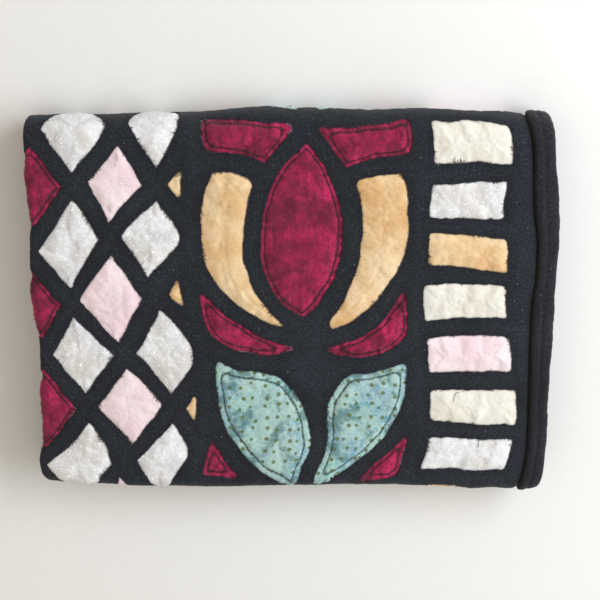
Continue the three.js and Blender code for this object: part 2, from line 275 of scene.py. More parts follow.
def folded(u, v, n):
    """Points of the flat hanging carried to their places in the packet, in metres."""
    u, v, n = (np.asarray(each, float) for each in np.broadcast_arrays(u, v, n))
    x, m = hairpin_fold(u, n)
    y, z, face_y, face_z = quarter_fold(v)
    return strayed(x, y + m * face_y, z + m * face_z) * MM


# Soft fields

def columns(*arrays):
    return np.stack(arrays, 1)


def smooth(t):
    t = np.clip(t, 0, 1)
    return t * t * (3 - 2 * t)


def ripples(u, v, wavelength, seed):
    """An even field of soft random waves, from about -1 to 1."""
    draw = np.random.default_rng(seed)
    turns, phases = draw.uniform(0, 2 * math.pi, (2, RIPPLE_WAVES))
    total = 0
    for turn, phase, scale in zip(turns, phases, draw.uniform(0.7, 1.4, RIPPLE_WAVES)):
        k = 2 * math.pi / (wavelength * scale)
        total = total + np.sin(k * (u * math.cos(turn) + v * math.sin(turn)) + phase)
    return total / math.sqrt(2 * RIPPLE_WAVES)


def waves(u, v, table):
    """A sum of ripples, each of its own size, length and seed."""
    return sum(size * ripples(u, v, length, seed) for size, length, seed in table)


# Patchwork: distances are negative inside a patch

def chance(number):
    """A fixed random value from 0 to 1 for each whole number."""
    return np.modf(np.abs(np.sin(number * 12.9898 + 4.1) * 43758.5453))[0]


def both(first, second, rounding=7):
    """The larger of two distances, with the corner between them rounded off."""
    close = np.maximum(rounding - np.abs(first - second), 0) / rounding
    return np.maximum(first, second) + close * close * rounding / 4


def leaf_distance(u, v, leaf):
    """Distance to a leaf shape, which two arcs of one radius bound."""
    turn = math.radians(leaf["turn"])
    along = (u - leaf["x"]) * math.cos(turn) + (v - leaf["y"]) * math.sin(turn)
    aside = (v - leaf["y"]) * math.cos(turn) - (u - leaf["x"]) * math.sin(turn)
    half, wide = leaf["length"] / 2, leaf["width"] / 2
    radius = (half * half + wide * wide) / (2 * wide)
    return np.hypot(along, np.abs(aside) + radius - wide) - radius


def hand_cut(u, v, sway, seed):
    """How far the sway, the scissors and the cloth's stretch carry a line off its place."""
    drawn = sum(size * np.sin(per_u * u + per_v * v + shift) for size, per_u, per_v, shift in sway)
    return drawn + waves(u, v, [(size, length, seed + k) for k, (size, length) in enumerate(CUT_WAVES)])


def patchwork(u, v):
    """Distance to the nearest patch, its fabric's number and its own number, at each point."""
    u = FOLD_LINE + np.abs(u - FOLD_LINE)
    across = u + hand_cut(u, v, SWAY_ACROSS, 101)
    along = v + hand_cut(u, v, SWAY_ALONG, 151)
    best = np.full(u.shape, FAR_OFF)
    fabric = np.zeros(u.shape, int)
    number = np.zeros(u.shape, int)

    def offer(distance, fabric_number, patch):
        nonlocal best, fabric, number
        nearer = distance < best
        best = np.where(nearer, distance, best)
        fabric = np.where(nearer, fabric_number, fabric)
        number = np.where(nearer, patch, number)

    half = LEADING / 2
    turn = np.round(along / REPEAT).astype(int)
    local = along - REPEAT * turn
    frame_edge = np.maximum(FLOWER_LEFT + half - across, across - FLOWER_RIGHT + half)
    taken = np.full(u.shape, FAR_OFF)
    for k, leaf in enumerate(LEAVES):
        distance = leaf_distance(across, local, leaf)
        clear = both(both(distance, LEADING - taken), frame_edge)
        offer(clear, FABRICS.index(leaf["fabric"]), FLOWER_NUMBERS * turn + k)
        taken = np.minimum(taken, distance)
    rest = both(LEADING - taken, frame_edge)
    for k, cell in enumerate(GROUND_CELLS, len(LEAVES)):
        sides = np.maximum(cell["left"] - across, across - cell["right"]) + half
        ends = np.maximum(cell["bottom"] - local, local - cell["top"]) + half
        clear = both(np.maximum(sides, ends), rest)
        offer(clear, FABRICS.index(cell["fabric"]), FLOWER_NUMBERS * turn + k)

    slant = math.hypot(LOZENGE_WIDTH, LOZENGE_HEIGHT)
    for column, name in enumerate(LOZENGE_FABRICS):
        drop = LOZENGE_FIRST + (column % 2) * LOZENGE_HEIGHT / 2
        row = np.round((along - drop) / LOZENGE_HEIGHT).astype(int)
        patch = LOZENGE_NUMBERS + COLUMN_NUMBERS * column + row
        du = across - FOLD_LINE - column * LOZENGE_WIDTH / 2
        dv = along - drop - row * LOZENGE_HEIGHT
        lean = 0.16 * (chance(patch) - 0.5) * (column > 0)
        du, dv = np.abs(du - lean * dv), np.abs(dv + lean * du)
        inside = (du * LOZENGE_HEIGHT + dv * LOZENGE_WIDTH - LOZENGE_WIDTH * LOZENGE_HEIGHT / 2) / slant
        uneven = 2.0 * (chance(patch + 500) - 0.35)
        offer(both(inside + half + uneven, across - FLOWER_LEFT + half, 4), FABRICS.index(name), patch)

    row = np.round(along / KEY_PITCH).astype(int)
    lean = 0.09 * (chance(row + 60) - 0.5)
    sides = np.maximum(FLOWER_RIGHT + half - across, across - KEYS_RIGHT + 4 * chance(row + 80))
    middle = (FLOWER_RIGHT + KEYS_RIGHT) / 2
    ends = np.abs(along - row * KEY_PITCH - lean * (across - middle)) - (KEY_PITCH - LEADING) / 2
    names = np.array([FABRICS.index(name) for name in KEY_FABRICS])[row % len(KEY_FABRICS)]
    offer(both(sides, ends, 3), names, KEY_NUMBERS + row)
    return best, fabric, number


def slopes(u, v, distance, step):
    """How steeply the patchwork's distance rises along u and along v."""
    return [(patchwork(u + du, v + dv)[0] - distance) / step for du, dv in ((step, 0), (0, step))]


def survey(u, v):
    """The patchwork at each point, and the nearest place on a patch's edge."""
    distance, fabric, number = patchwork(u, v)
    slope_u, slope_v = slopes(u, v, distance, 0.5)
    return {"u": u, "v": v, "distance": distance, "fabric": fabric, "number": number,
            "edge_u": u - distance * slope_u, "edge_v": v - distance * slope_v}


def by_fabric(table, fabric, otherwise):
    """A table's value for the fabric at each point."""
    return np.array([table.get(name, otherwise) for name in FABRICS])[fabric]


# Heights of the face above the middle of the cloth

def freedom(u, v):
    """1 where the face is free to rise, 0 where it lies under or inside the packet."""
    near = smooth((v - SPANS["near fold"][0]) / NEAR_RELEASE)
    far = smooth((SPANS["far fold"][1] - v) / FAR_RELEASE)
    return near * far * smooth((u - HAIRPIN_END) / LEFT_RELEASE)


def drape(u, v):
    """Soft unevenness of the whole face, in millimetres."""
    crease = np.maximum(1 - np.abs(ripples(u, v, 95, 13)) * 6, 0) ** 2
    return waves(u, v, DRAPE_WAVES) - CREASE_DEPTH * crease - 0.2


def edge_puckers(place, wavelength, seed):
    """Ripples that run straight in from a patch's edge."""
    return ripples(place["edge_u"], place["edge_v"], wavelength, seed)


def pleats(place):
    """Small pleats that the sewing pulls in from a patch's edge."""
    return edge_puckers(place, 7, 32) * smooth(1 + place["distance"] / 14)


def overlay_height(place, distance=None):
    """The black overlay's top, also where another distance from the patches is given."""
    u, v = place["u"], place["v"]
    distance = place["distance"] if distance is None else distance
    puckers = 0.24 * edge_puckers(place, 9, 21) * smooth(1 - distance / 10)
    fine = 0.07 * ripples(u, v, 4.2, 22)
    to_seam = CLOTH_RIGHT - u
    dip = SEAM_DIP * smooth(1 - to_seam / SEAM_REACH) ** 1.5
    seam = SEAM_SLOPE * smooth(1 - to_seam / SLOPE_REACH) + dip
    return FACE + freedom(u, v) * (drape(u, v) + puckers + fine - seam)


def patch_height(place):
    """The patches' top: puffed, crumpled, pleated from the edges, and grooved by the topstitching."""
    u, v = place["u"], place["v"]
    inside = np.maximum(-place["distance"], 0)
    inset = by_fabric(STITCH_INSETS, place["fabric"], NOT_SEWN)
    swell = np.sin(np.minimum(inside / PUFF_REACH, 1) * math.pi / 2)
    folds = np.maximum(1 - np.abs(ripples(u, v, 36, 31)) * 2.6, 0) ** 1.5
    crumple = 0.85 * folds + 0.33 * ripples(u, v, 17, 33) - 0.25
    crumple = crumple * by_fabric(CRUMPLING, place["fabric"], 1.0)
    long_puckers = 0.6 * edge_puckers(place, 16, 34) * smooth(inside / 3) * smooth(1.4 - inside / 20)
    tugs = (0.26 + 0.3 * (inset > 0)) * pleats(place) * smooth(inside / 1.2)
    groove = GROOVE_DEPTH * np.exp(-((inside - inset) / GROOVE_WIDTH) ** 2)
    rise = PUFF_HEIGHT * swell - crumple * smooth(inside / 7) * 0.8 + long_puckers + tugs - groove
    free = freedom(u, v)
    base = overlay_height(place, np.zeros_like(u)) - OVERLAY_THICKNESS
    return base + rise * free + (1 - free) * 0.45 * smooth(inside / 3)


# Meshes from the flat layout

def stations(*stretches):
    """Stations through stretches of (from, to, step), each end once."""
    parts = [np.array([stretches[0][0]], float)]
    for start, end, step in stretches:
        count = max(int(round((end - start) / step)), 1)
        parts.append(np.linspace(start, end, count + 1)[1:])
    return np.concatenate(parts)


def grid(us, vs):
    """Points of a grid and its triangles, anticlockwise seen from the face."""
    u, v = (each.ravel() for each in np.meshgrid(us, vs))
    wide = len(us)
    i, j = np.meshgrid(np.arange(wide - 1), np.arange(len(vs) - 1))
    corner = (j * wide + i).ravel()
    odd = ((i + j) % 2).ravel().astype(bool)
    a, b, c, d = corner, corner + 1, corner + wide + 1, corner + wide
    first = np.where(odd[:, None], columns(a, b, c), columns(a, b, d))
    second = np.where(odd[:, None], columns(a, c, d), columns(b, c, d))
    return u, v, np.concatenate([first, second])


def snapped(u, v, reach):
    """Grid points close to the patches' edges, moved onto them."""
    u, v = u.copy(), v.copy()
    for _ in range(2):
        distance = patchwork(u, v)[0]
        close = np.abs(distance) < reach
        off = distance[close]
        slope_u, slope_v = slopes(u[close], v[close], off, 0.05)
        shift = np.clip(off / (slope_u**2 + slope_v**2 + 1e-6), -reach, reach)
        u[close] -= shift * slope_u
        v[close] -= shift * slope_v
    return u, v


def clipped(u, v, triangles, value):
    """The part of a flat mesh where value is above zero, cut along its zero line."""
    value = np.where(np.abs(value) < 1e-6, 1e-6, value)
    above = value > 0
    count = above[triangles].sum(axis=1)
    kept = [triangles[count == 3]]
    crossing = triangles[(count == 1) | (count == 2)]
    single = above[crossing].sum(axis=1) == 1
    odd_one = np.where(single[:, None], above[crossing], ~above[crossing]).argmax(axis=1)
    rows = np.arange(len(crossing))
    a, b, c = (crossing[rows, (odd_one + k) % 3] for k in range(3))
    pairs = np.concatenate([columns(a, b), columns(a, c)])
    edges, where = np.unique(np.sort(pairs, axis=1), axis=0, return_inverse=True)
    start, end = edges.T
    share = value[start] / (value[start] - value[end])
    new_u, new_v = (axis[start] + share * (axis[end] - axis[start]) for axis in (u, v))
    ab, ac = len(u) + where.reshape(2, -1)
    for corners, mine in (((a, ab, ac), single), ((ab, b, c), ~single), ((ab, c, ac), ~single)):
        kept.append(columns(*corners)[mine])
    lines = np.where(single[:, None], columns(ab, ac), columns(ac, ab))
    return np.concatenate([u, new_u]), np.concatenate([v, new_v]), np.concatenate(kept), lines


def compact(triangles, *arrays):
    """Triangles and arrays without the points that no triangle uses."""
    used, where = np.unique(triangles, return_inverse=True)
    return (where.reshape(triangles.shape), *(each[used] for each in arrays))


def make_object(name, points, faces, flat, fields=None):
    """A mesh object at the origin, with its flat layout as its UV map."""
    mesh = bpy.data.meshes.new(name)
    mesh.from_pydata(points.tolist(), [], faces.tolist() if isinstance(faces, np.ndarray) else faces)
    mesh.update()
    layer = mesh.uv_layers.new(name="UVMap")
    loops = np.empty(len(mesh.loops), int)
    mesh.loops.foreach_get("vertex_index", loops)
    layer.data.foreach_set("uv", (flat[loops] * UV_SCALE).astype(np.float32).ravel())
    for key, values in (fields or {}).items():
        attribute = mesh.attributes.new(key, "FLOAT", "POINT")
        attribute.data.foreach_set("value", values.astype(np.float32))
    mesh.shade_smooth()
    made = bpy.data.objects.new(name, mesh)
    bpy.context.scene.collection.objects.link(made)
    return made


def rim_edges(triangles):
    """Directed edges used by one triangle only."""
    edges = np.concatenate([triangles[:, [k, (k + 1) % 3]] for k in range(3)])
    _, where, uses = np.unique(np.sort(edges, axis=1), axis=0, return_inverse=True, return_counts=True)
    return edges[uses[where.ravel()] == 1]


def closed_sheet(name, u, v, triangles, top, bottom, fields=None):
    """A thin closed sheet: its face at the height top, its back at bottom, and walls round its rim."""
    fields = fields or {}
    top, bottom = np.broadcast_to(top, u.shape), np.broadcast_to(bottom, u.shape)
    triangles, u, v, top, bottom, *values = compact(triangles, u, v, top, bottom, *fields.values())
    count = len(u)
    points = np.concatenate([folded(u, v, top), folded(u, v, bottom)])
    rim = rim_edges(triangles)
    tail, head = rim.T
    walls = np.concatenate([columns(head, tail, tail + count), columns(head, tail + count, head + count)])
    faces = np.concatenate([triangles, triangles[:, ::-1] + count, walls])
    flat = np.tile(columns(u, v), (2, 1))
    doubled = {key: np.tile(each, 2) for key, each in zip(fields, values)}
    made = make_object(name, points, faces, flat, doubled)
    sharp = made.data.attributes.new("sharp_edge", "BOOLEAN", "EDGE")
    ends = np.empty(2 * len(made.data.edges), int)
    made.data.edges.foreach_get("vertices", ends)
    edge_keys, rim_keys = (np.sort(pairs, axis=1) @ (2 * count, 1)
                           for pairs in (ends.reshape(-1, 2), np.concatenate([rim, rim + count])))
    sharp.data.foreach_set("value", np.isin(edge_keys, rim_keys))
    return made


# The cloth's runs of grid: the distance between points where the face shows, and where it doesn't

FINE = 1.32
COARSE = 3


def round_hairpin(overlap, step, *stretch):
    """Stations round the fold at the packet's left side, and over one stretch from there."""
    return stations((HAIRPIN_END - overlap, HAIRPIN_END, 2), (HAIRPIN_END, HAIRPIN_X, step),
                    (HAIRPIN_X, *stretch))


def top_grid():
    """The part of the face that shows: the top run and the two folds beside it."""
    near, far = SPANS["near fold"], SPANS["far fold"]
    vs = stations((*near, 0.8), (near[1], far[0], FINE), (*far, 1.3))
    return round_hairpin(6, 0.62, CLOTH_RIGHT, FINE), vs


def under_grids():
    """The underside of the packet, and the folds at its left side."""
    inner = SPANS["inner fold"]
    tucked = stations((CLOTH_START, inner[0], COARSE), (*inner, 1),
                      (inner[1], SPANS["near fold"][0], COARSE))
    return {
        "bottom": (round_hairpin(8, 0.7, CLOTH_RIGHT, COARSE), stations((*SPANS["bottom run"], COARSE))),
        "tucked": (round_hairpin(8, 0.7, HAIRPIN_X + 14, 2), tucked),
    }


def along_runs(fold_step, run_step):
    """Stations along the whole cloth, closer together round its folds."""
    return stations(*[(run["start"], run["end"], fold_step if "radius" in run else run_step)
                      for run in RUNS])


def quilt_cloth():
    """The wadding and back of the quilt, closed round its edges."""
    us = stations((CLOTH_LEFT, HAIRPIN_END, 12), (HAIRPIN_END, HAIRPIN_X, 0.6),
                  (HAIRPIN_X, CLOTH_RIGHT - 8, 8), (CLOTH_RIGHT - 8, CLOTH_RIGHT, 1))
    u, v, triangles = grid(us, along_runs(1.6, 9))
    seam = smooth(1 - (CLOTH_RIGHT - u) / 6)
    face = CLOTH_FACE - freedom(u, v) * (1.3 + 0.4 * seam)
    return closed_sheet("quilt_cloth", u, v, triangles, face, -FACE)


def face_sheets(label, us, vs, step):
    """The black overlay of one stretch of the face, and its patches, one piece for each fabric."""
    u, v, triangles = grid(us, vs)
    inner = (u > us[0] + step) & (u < us[-1] - step) & (v > vs[0] + step) & (v < vs[-1] - step)
    made = {}

    near_u, near_v = snapped(u, v, step * 0.3)
    near_u, near_v = np.where(inner, near_u, u), np.where(inner, near_v, v)
    cut_u, cut_v, cut, _ = clipped(near_u, near_v, triangles, patchwork(near_u, near_v)[0])
    place = survey(cut_u, cut_v)
    top = overlay_height(place)
    bottom, fields = top - OVERLAY_THICKNESS, {"depth": place["distance"]}
    made["overlay"] = closed_sheet(f"black_overlay_{label}", cut_u, cut_v, cut, top, bottom, fields)

    cut_u, cut_v, cut, _ = clipped(u, v, triangles, TUCK - patchwork(u, v)[0])
    place = survey(cut_u, cut_v)
    under = overlay_height(place) - OVERLAY_THICKNESS - 0.05
    top = np.where(place["distance"] > 0, under, patch_height(place))
    bottom = np.minimum(top - 0.4, CLOTH_FACE + 0.35 - freedom(cut_u, cut_v))
    fields = {"depth": place["distance"], "tone": chance(place["number"]), "pleats": pleats(place)}
    owner = place["fabric"][cut]
    for k, name in enumerate(FABRICS):
        mine = cut[(owner == k).sum(axis=1) >= 2]
        if len(mine):
            made[name] = closed_sheet(f"patches_{name}_{label}", cut_u, cut_v, mine, top, bottom, fields)
    return made, (near_u, near_v, triangles)


# Binding

# Section of the binding from the seam outwards (a) and up from the cloth's middle (n), with how far
# each point rises where the binding is free to stand proud
BINDING_SECTION = [
    (0.0, -0.9, 0), (0.2, 0.2, 0), (0.5, 1.1, 0.2), (1.1, 1.65, 0.6), (2.0, 1.9, 0.88), (3.3, 2.0, 0.95),
    (5.0, 2.0, 0.95), (6.4, 1.95, 0.75), (7.4, 1.8, 0.55), (8.2, 1.8, 0.5), (9.2, 1.95, 0.7),
    (10.6, 2.0, 0.9), (12.2, 2.0, 0.95), (13.9, 1.95, 0.9), (15.3, 1.75, 0.75), (16.4, 1.1, 0.4),
    (17.0, 0.0, 0.05), (16.9, -0.9, 0), (16.1, -1.7, 0), (13.8, -2.05, 0), (10.5, -2.15, 0),
    (6.5, -2.15, 0), (2.6, -2.1, 0), (0.7, -1.8, 0),
]


def tube_faces(around, rings, base=0):
    """Sides and end caps of a closed tube of rings, each of so many points around."""
    i, j = (each.ravel() for each in np.meshgrid(np.arange(around), np.arange(rings - 1)))
    k = (i + 1) % around
    here, there = j * around + base, (j + 1) * around + base
    sides = columns(here + i, there + i, there + k, here + k)
    cap = np.arange(around) + base
    return sides.tolist() + [cap.tolist(), (cap[::-1] + (rings - 1) * around).tolist()]


def turned_outward(made):
    """A closed piece with all its faces turned outward."""
    bpy.ops.object.select_all(action="DESELECT")
    made.select_set(True)
    bpy.context.view_layer.objects.active = made
    bpy.ops.object.mode_set(mode="EDIT")
    bpy.ops.mesh.select_all(action="SELECT")
    bpy.ops.mesh.normals_make_consistent(inside=False)
    bpy.ops.object.mode_set(mode="OBJECT")
    made.select_set(False)
    return made


def binding(name, along, place):
    """One strip of binding: its section carried along stations, with a cap at each end."""
    count = len(BINDING_SECTION)
    a, n, proud = (np.tile(each, len(along)) for each in np.array(BINDING_SECTION).T)
    s = np.repeat(along, count)
    u, v = place(s, a + smooth(a / 9) * waves(s, s, BINDING_WAVES))
    free = freedom(np.maximum(u, HAIRPIN_X), v) * (u > FOLD_LINE)
    puckers = 0.3 * ripples(s, a * 2, 8, 41) + 0.35 * ripples(s, a, 37, 42)
    n = n + free * proud * (1.0 + puckers) + free * drape(u, v) * 0.8
    faces = tube_faces(count, len(along))
    return turned_outward(make_object(name, folded(u, v, n), faces, columns(u, v), {"depth": a}))


def bindings():
    """The four strips of binding, by the node that each stands for."""
    right, left = CLOTH_RIGHT + SEAM_GAP, CLOTH_LEFT - SEAM_GAP
    lengthwise = along_runs(1.3, 2.6)
    widthwise = stations((left - BINDING_WIDTH, HAIRPIN_END, 8), (HAIRPIN_END, HAIRPIN_X, 0.6),
                         (HAIRPIN_X, right + BINDING_WIDTH, 8))
    strips = {
        "side_upper": (lengthwise, lambda s, a: (right + a, s)),
        "side_lower": (lengthwise, lambda s, a: (left - a, s)),
        "end_bottom": (widthwise, lambda s, a: (s, CLOTH_END + SEAM_GAP + a)),
        "end_inner": (widthwise, lambda s, a: (s, CLOTH_START - SEAM_GAP - a)),
    }
    return {f"binding_{key}": binding(key.replace("_", "_binding_"), *strip)
            for key, strip in strips.items()}


# Thread

STITCH_PITCH = 3.0
STITCH_LENGTH = 2.5
STITCH_WIDTH = 0.75
FRAY_PITCH = 0.55
PALE_PITCH = 0.8
NEAR_MARGIN = 130
LOOSE_THREADS = 5
LOOSE_STEPS = 18
LOOSE_RADIUS = 0.16
LINT_FLECKS = 340

# How far ahead a chain's direction is read, and the patchwork's distance at the line that frays
LOOK_AHEAD = 0.6
RAW_EDGE = -0.1

# Faces of one strand: its ends are 0 and 1, its sides 2 and 3, its crown 4 and its keel 5
STRAND_FACES = [(0, 3, 4), (3, 1, 4), (1, 2, 4), (2, 0, 4), (3, 0, 5), (1, 3, 5), (2, 1, 5), (0, 2, 5)]
STRAND_LIFTS = [-0.1, -0.1, 0.08, 0.08, 0.26, -0.16]


def level_lines(u, v, triangles, level):
    """Chains of points along a level of the patchwork's distance."""
    value = patchwork(u, v)[0] - level
    cut_u, cut_v, _, lines = clipped(u, v, triangles, value)
    after = dict(lines.tolist())
    starts = list(set(after) - set(after.values())) + list(after)
    chains, seen = [], set()
    for start in starts:
        chain, at = [], start
        while at is not None and at not in seen:
            seen.add(at)
            chain.append(at)
            at = after.get(at)
        if len(chain) > 3:
            chains.append(columns(cut_u[chain], cut_v[chain]))
    return chains


def unit(way):
    return way / np.maximum(np.linalg.norm(way, axis=1), 1e-6)[:, None]


def left_of(way):
    """Directions turned a quarter to the left."""
    return columns(-way[:, 1], way[:, 0])


def compass(turn):
    return columns(np.cos(turn), np.sin(turn))


def walk(chain, pitch):
    """Points at even steps along a chain, with the direction there."""
    steps = np.linalg.norm(np.diff(chain, axis=0), axis=1)
    length = np.concatenate([[0], np.cumsum(steps)])
    at = np.arange(pitch / 2, length[-1], pitch)
    place, ahead = (
        columns(*(np.interp(np.minimum(here, length[-1]), length, axis) for axis in chain.T))
        for here in (at, at + LOOK_AHEAD)
    )
    return place, unit(ahead - place)


def strands(name, centre, way, length, width, height):
    """Short strands of thread lying on the face, each a lens of eight faces."""
    reach, side = way * length[:, None] / 2, left_of(way) * width[:, None] / 2
    flat = [centre - reach, centre + reach, centre + side, centre - side, centre, centre]
    n = height(*centre.T)
    points = columns(*(folded(*each.T, n + lift) for each, lift in zip(flat, STRAND_LIFTS)))
    faces = (np.arange(len(centre))[:, None, None] * 6 + np.array(STRAND_FACES)).reshape(-1, 3)
    return make_object(name, points.reshape(-1, 3), faces, columns(*flat).reshape(-1, 2))


def on_patch(lift):
    """Heights a little above the patches, for what lies on them."""
    return lambda u, v: patch_height(survey(u, v)) + lift


def stitching(surface):
    """Dark topstitching just inside the edges of the dyed patches."""
    places, ways = [], []
    for name, inset in STITCH_INSETS.items():
        for chain in level_lines(*surface, -inset):
            place, way = walk(chain, STITCH_PITCH)
            sewn = patchwork(*place.T)[1] == FABRICS.index(name)
            places.append(place[sewn])
            ways.append(way[sewn])
    place, way = np.concatenate(places), np.concatenate(ways)
    even = np.ones(len(place))
    return strands("topstitching", place, way, STITCH_LENGTH * even, STITCH_WIDTH * even, on_patch(0.05))


def edge_places(surface, pitch):
    """Places along the overlay's raw edges, with the way in over the patch."""
    walked = [walk(chain, pitch) for chain in level_lines(*surface, RAW_EDGE)]
    place, way = (np.concatenate(each) for each in zip(*walked))
    inward = -left_of(way)
    inside = patchwork(*(place + inward).T)[0] < patchwork(*place.T)[0]
    return place, np.where(inside[:, None], inward, -inward)


def fraying(surface):
    """Loose ends of the overlay's raw edges, lying over the patches: even fuzz with tufts in places."""
    draw = np.random.default_rng(7)
    place, inward = edge_places(surface, FRAY_PITCH)
    worn = np.clip(ripples(*place.T, 26, 71) - 0.15, 0, 1)
    keep = draw.random(len(place)) < 0.14 + 0.8 * worn
    place, inward, worn = place[keep], inward[keep], worn[keep]
    way = unit(inward + draw.normal(0, 0.75, len(place))[:, None] * left_of(inward))
    length = (draw.gamma(2.0, 0.45, len(place)) + 0.4) * (1 + 1.9 * worn)
    width = draw.uniform(0.18, 0.4, len(place))
    centre = place + way * (length * 0.28)[:, None]
    return strands("frayed_ends", centre, way, length, width, on_patch(0.25))


def pale_ends(surface):
    """Pale threads of the ground cloth that show along some edges of the dyed patches."""
    draw = np.random.default_rng(19)
    place, inward = edge_places(surface, PALE_PITCH)
    dyed = patchwork(*(place + inward * 0.4).T)[1] == FABRICS.index("burgundy")
    bare = ripples(*place.T, 44, 73) > 0.72
    keep = dyed & bare & (draw.random(len(place)) < 0.8)
    place, inward = place[keep], inward[keep]
    way = unit(left_of(inward) + inward * draw.normal(0, 0.35, len(place))[:, None])
    length = draw.uniform(0.8, 2.2, len(place))
    centre = place + inward * draw.uniform(0.1, 0.6, len(place))[:, None]
    width = draw.uniform(0.2, 0.4, len(place))
    return strands("pale_thread_ends", centre, way, length, width, on_patch(0.3))


def lint():
    """Flecks of pale lint caught on the black cloth."""
    draw = np.random.default_rng(23)
    u = draw.uniform(FOLD_LINE + 10, CLOTH_RIGHT - 1, LINT_FLECKS)
    v = draw.uniform(-NEAR_MARGIN, FAR_FOLD_Y, LINT_FLECKS)
    centre = columns(u, v)[patchwork(u, v)[0] > 1.2]
    way = compass(draw.uniform(0, 2 * math.pi, len(centre)))
    length = draw.gamma(1.6, 0.35, len(centre)) + 0.25
    width = draw.uniform(0.12, 0.3, len(centre))
    return strands("lint", centre, way, length, width, lambda u, v: overlay_height(survey(u, v)) + 0.05)


def loose_threads():
    """A few long ends of black thread that curl over the face."""
    draw = np.random.default_rng(31)
    points, faces = [], []
    for _ in range(LOOSE_THREADS):
        start = draw.uniform((FOLD_LINE + 20, -115), (CLOTH_RIGHT - 20, 110))
        curl = np.linspace(0, 1.6, LOOSE_STEPS) + np.cumsum(draw.normal(0, 0.22, LOOSE_STEPS))
        way = compass(draw.uniform(0, 2 * math.pi) + curl)
        path = start + np.cumsum(way * draw.uniform(0.4, 0.75), axis=0)
        side = left_of(way) * LOOSE_RADIUS
        place = survey(*path.T)
        on_black = overlay_height(place, np.maximum(place["distance"], 0))
        over = np.where(place["distance"] > -0.5, on_black, patch_height(place))
        height = np.convolve(np.pad(over, 2, "edge"), np.ones(5) / 5, "valid") + 0.35
        ring = ((side, 0), (0, LOOSE_RADIUS), (-side, 0), (0, -LOOSE_RADIUS))
        lines = [folded(*(path + sideways).T, height + lift) for sideways, lift in ring]
        faces += tube_faces(len(ring), LOOSE_STEPS, sum(map(len, points)))
        points.append(columns(*lines).reshape(-1, 3))
    points = np.concatenate(points)
    return turned_outward(make_object("loose_threads", points, faces, np.zeros((len(points), 2))))


# Shaders

class Wiring:
    """Short calls that add nodes to one tree. A value is a number, a colour or another node's output."""

    def __init__(self, tree):
        self.tree = tree

    def plug(self, socket, value):
        if hasattr(value, "is_output"):
            self.tree.links.new(value, socket)
        else:
            socket.default_value = value

    def node(self, kind, inputs=(), **settings):
        """A node with its settings made, and its inputs plugged by their names or numbers."""
        made = self.tree.nodes.new("ShaderNode" + kind)
        for key, value in settings.items():
            setattr(made, key, value)
        for key, value in dict(inputs).items():
            self.plug(made.inputs[key], value)
        return made

    def math(self, operation, *values):
        return self.node("Math", enumerate(values), operation=operation).outputs[0]

    def vector(self, operation, *values):
        return self.node("VectorMath", enumerate(values), operation=operation).outputs[0]

    def times(self, value, *factors):
        for factor in factors:
            value = self.math("MULTIPLY", value, factor)
        return value

    def line(self, value, slope, start):
        return self.math("MULTIPLY_ADD", value, slope, start)

    def apart(self, first, second):
        """How far one number is from another."""
        return self.math("ABSOLUTE", self.math("SUBTRACT", first, second))

    def scaled(self, vector, factors):
        return self.vector("MULTIPLY", vector, factors)

    def lifted(self, vector, height):
        """A place at another height, where noise is another."""
        return self.vector("ADD", vector, self.node("CombineXYZ", {"Z": height}).outputs[0])

    def axes(self, vector):
        return self.node("SeparateXYZ", {0: vector}).outputs

    def noise(self, vector, scale, detail=2.0, roughness=0.5, output="Fac"):
        inputs = {"Vector": vector, "Scale": scale, "Detail": detail, "Roughness": roughness}
        return self.node("TexNoise", inputs).outputs[output]

    def scattered(self, vector, scale, randomness=1.0):
        """Distance to the nearest of scattered points, and three random values of that point."""
        inputs = {"Vector": vector, "Scale": scale, "Randomness": randomness}
        cells = self.node("TexVoronoi", inputs, feature="F1", voronoi_dimensions="2D").outputs
        values = self.node("SeparateColor", {0: cells["Color"]}).outputs
        return cells["Distance"], *values[:3]

    def span(self, value, low, high, to_low=0.0, to_high=1.0):
        inputs = {"Value": value, "From Min": low, "From Max": high, "To Min": to_low, "To Max": to_high}
        return self.node("MapRange", inputs, interpolation_type="SMOOTHSTEP").outputs["Result"]

    def mix(self, share, first, second, blend="MIX"):
        """Two colours mixed. They are the node's inputs 6 and 7."""
        first, second = (each if hasattr(each, "is_output") else (*each, 1.0) for each in (first, second))
        inputs = {0: share, 6: first, 7: second}
        return self.node("Mix", inputs, data_type="RGBA", blend_type=blend).outputs[2]

    def use(self, tree, **values):
        return self.node("Group", values, node_tree=tree).outputs


def inputs_of(owner, kind):
    """The inputs of the one node of a kind that a new material or world starts with."""
    owner.use_nodes = True
    return next(node for node in owner.node_tree.nodes if node.type == kind).inputs


def group(name, inputs, outputs):
    """A shader node group with named inputs (name: default), and outputs that are numbers."""
    tree = bpy.data.node_groups.new(name, "ShaderNodeTree")
    for key, default in inputs.items():
        kind = "NodeSocketFloat" if isinstance(default, float) else "NodeSocketVector"
        tree.interface.new_socket(name=key, in_out="INPUT", socket_type=kind).default_value = default
    for key in outputs:
        tree.interface.new_socket(name=key, in_out="OUTPUT", socket_type="NodeSocketFloat")
    entry, leave = tree.nodes.new("NodeGroupInput"), tree.nodes.new("NodeGroupOutput")
    return Wiring(tree), entry.outputs, leave.inputs


